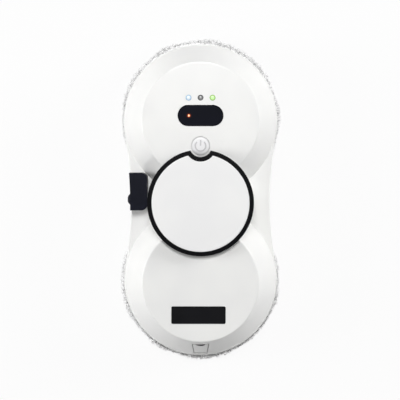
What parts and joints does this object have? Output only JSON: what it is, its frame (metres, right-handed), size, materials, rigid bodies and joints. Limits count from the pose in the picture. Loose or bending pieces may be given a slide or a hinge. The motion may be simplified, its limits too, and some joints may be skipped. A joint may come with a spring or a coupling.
{
  "type": "window cleaning robot",
  "caption": "Window cleaning robot with a two-lobed white housing, a black vent ring round a central cover, a side spray nozzle and geared cleaning discs with fuzzy cloths.",
  "frame": {"origin": "on the glass, midway between the two cleaning discs", "axes": "+Y along the body towards the lobe with the receiver window and the indicators, +Z away from the glass, +X to the right seen from above"},
  "size_m": [0.1462, 0.2992, 0.0662],
  "materials": {
    "white_gloss": "satin gloss",
    "pale_plastic": "fine matt",
    "black_plastic": "fine matt",
    "dark_window": "polished",
    "navy_plastic": "fine matt",
    "amber_lens": "polished",
    "blue_lens": "polished",
    "grey_lens": "polished",
    "green_lens": "polished",
    "circuit_board": "solder mask",
    "chips": "moulded",
    "steel": "turned",
    "grey_plastic": "fine matt",
    "bronze": "turned",
    "seal_rubber": "moulded",
    "cell_wrap": "shrink wrap",
    "gear_plastic": "moulded",
    "microfibre": "looped pile",
    "wick_fibre": "pressed fibre"
  },
  "bodies": {
    "housing": {"top_shell": "white_gloss", "fan_cover": "white_gloss", "bottom_shell": "pale_plastic", "port_pocket": "pale_plastic", "vent_ring": "black_plastic", "dark_plate": "black_plastic", "spray_nozzle": "black_plastic", "power_inlet": "black_plastic", "receiver_window": "dark_window", "spray_housing": "navy_plastic", "standby_light": "amber_lens", "left_indicator": "blue_lens", "middle_indicator": "grey_lens", "right_indicator": "green_lens", "main_board": "circuit_board", "board_components": "chips", "switch_case": "steel", "fan_motor": "steel", "upper_drive_motor": "steel", "lower_drive_motor": "steel", "upper_idler_axle": "steel", "lower_idler_axle": "steel", "flap_pin": "steel", "shell_screws": "steel", "board_screws": "steel", "fan_housing": "grey_plastic", "fan_motor_mount": "grey_plastic", "upper_gear_plate": "grey_plastic", "lower_gear_plate": "grey_plastic", "battery_tray": "grey_plastic", "upper_bearing": "bronze", "lower_bearing": "bronze", "mist_disc": "bronze", "upper_seal_ring": "seal_rubber", "lower_seal_ring": "seal_rubber", "battery_cells": "cell_wrap", "wick": "wick_fibre"},
    "upper_disc": {"upper_disc_carrier": "pale_plastic", "upper_cleaning_cloth": "microfibre", "upper_spindle": "steel", "upper_spindle_gear": "gear_plastic", "upper_disc_screw": "steel"},
    "lower_disc": {"lower_disc_carrier": "pale_plastic", "lower_cleaning_cloth": "microfibre", "lower_spindle": "steel", "lower_spindle_gear": "gear_plastic", "lower_disc_screw": "steel"},
    "upper_idler": {"upper_idler_gear": "gear_plastic"},
    "lower_idler": {"lower_idler_gear": "gear_plastic"},
    "upper_pinion": {"upper_motor_pinion": "bronze"},
    "lower_pinion": {"lower_motor_pinion": "bronze"},
    "fan_rotor": {"impeller": "grey_plastic", "fan_shaft": "steel"},
    "button": {"power_button": "white_gloss", "switch_plunger": "black_plastic"},
    "flap": {"port_flap": "white_gloss"},
    "plug": {"filler_plug": "seal_rubber"}
  },
  "joints": [
    {"name": "upper_disc_spin", "type": "hinge", "parent": "housing", "child": "upper_disc", "pos_m": [0, 0.0765, 0], "axis": [0, 0, 1], "continuous": true},
    {"name": "lower_disc_spin", "type": "hinge", "parent": "housing", "child": "lower_disc", "pos_m": [0, -0.0765, 0], "axis": [0, 0, 1], "continuous": true},
    {"name": "upper_idler_spin", "type": "hinge", "parent": "housing", "child": "upper_idler", "pos_m": [0.02065, 0.09826, 0], "axis": [0, 0, 1], "continuous": true},
    {"name": "lower_idler_spin", "type": "hinge", "parent": "housing", "child": "lower_idler", "pos_m": [0.02176, -0.09715, 0], "axis": [0, 0, 1], "continuous": true},
    {"name": "upper_pinion_spin", "type": "hinge", "parent": "housing", "child": "upper_pinion", "pos_m": [0, 0.1105, 0], "axis": [0, 0, 1], "continuous": true},
    {"name": "lower_pinion_spin", "type": "hinge", "parent": "housing", "child": "lower_pinion", "pos_m": [0.034, -0.0765, 0], "axis": [0, 0, 1], "continuous": true},
    {"name": "fan_spin", "type": "hinge", "parent": "housing", "child": "fan_rotor", "pos_m": [0, 0, 0], "axis": [0, 0, 1], "continuous": true},
    {"name": "power_button_press", "type": "slide", "parent": "housing", "child": "button", "axis": [0, 0, -1], "range_m": [0, 0.0008], "stiffness_N_per_m": 400, "springref_m": -0.002},
    {"name": "port_flap_hinge", "type": "hinge", "parent": "housing", "child": "flap", "pos_m": [0, -0.14214, 0.02266], "axis": [1, 0, 0], "range_deg": [0, 95]},
    {"name": "filler_plug_pull", "type": "slide", "parent": "housing", "child": "plug", "axis": [0, 0, -1], "range_m": [0, 0.01]}
  ],
  "couplings": [
    {"joint": "upper_idler_spin", "follows": "upper_disc_spin", "ratio": -4},
    {"joint": "lower_idler_spin", "follows": "lower_disc_spin", "ratio": -4},
    {"joint": "upper_pinion_spin", "follows": "upper_disc_spin", "ratio": 12},
    {"joint": "lower_pinion_spin", "follows": "lower_disc_spin", "ratio": 12}
  ]
}
